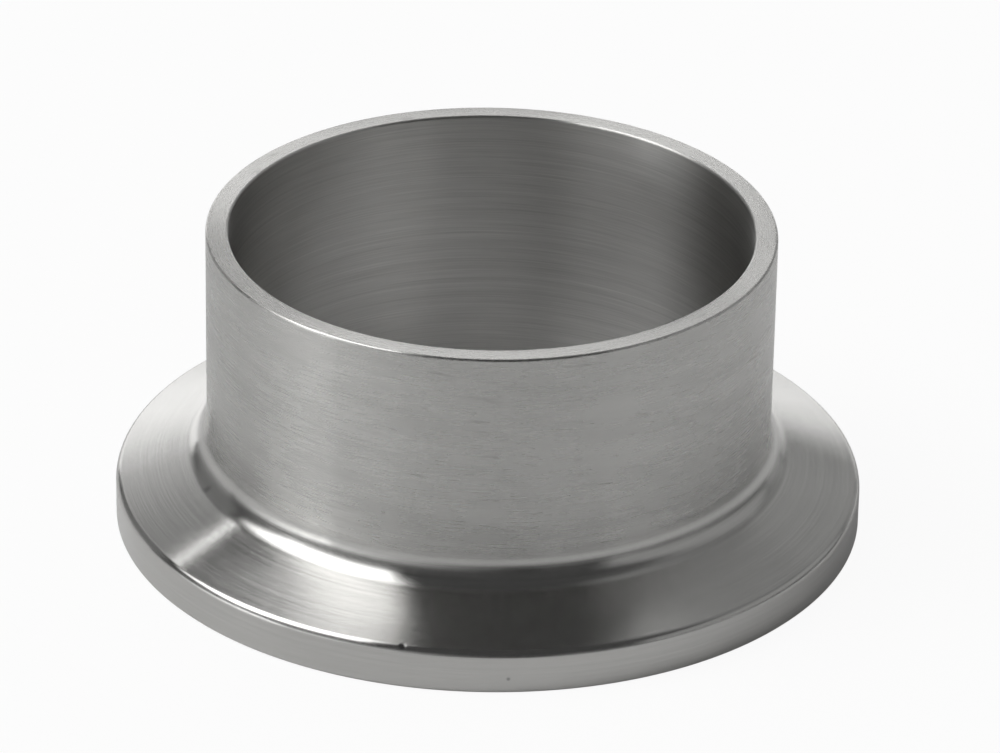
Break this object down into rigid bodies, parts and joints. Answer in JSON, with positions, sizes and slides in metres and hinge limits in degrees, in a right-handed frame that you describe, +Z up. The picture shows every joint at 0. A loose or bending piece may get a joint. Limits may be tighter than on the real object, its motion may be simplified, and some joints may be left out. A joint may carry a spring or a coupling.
{
  "type": "sanitary clamp ferrule",
  "caption": "Short weld ferrule for hygienic tube: a plain tube stub turned in one piece with a round flange that has a tapered clamp back and a grooved gasket face.",
  "frame": {"origin": "centre of the gasket face, on the bore's axis; the ferrule stands on this face", "axes": "+Z up the bore's axis, from the gasket face to the weld end"},
  "size_m": [0.0504, 0.0504, 0.021],
  "materials": {
    "satin_stainless": "turned stainless steel, satin polished around the axis"
  },
  "bodies": {
    "root": {"ferrule": "satin_stainless"}
  },
  "joints": []
}
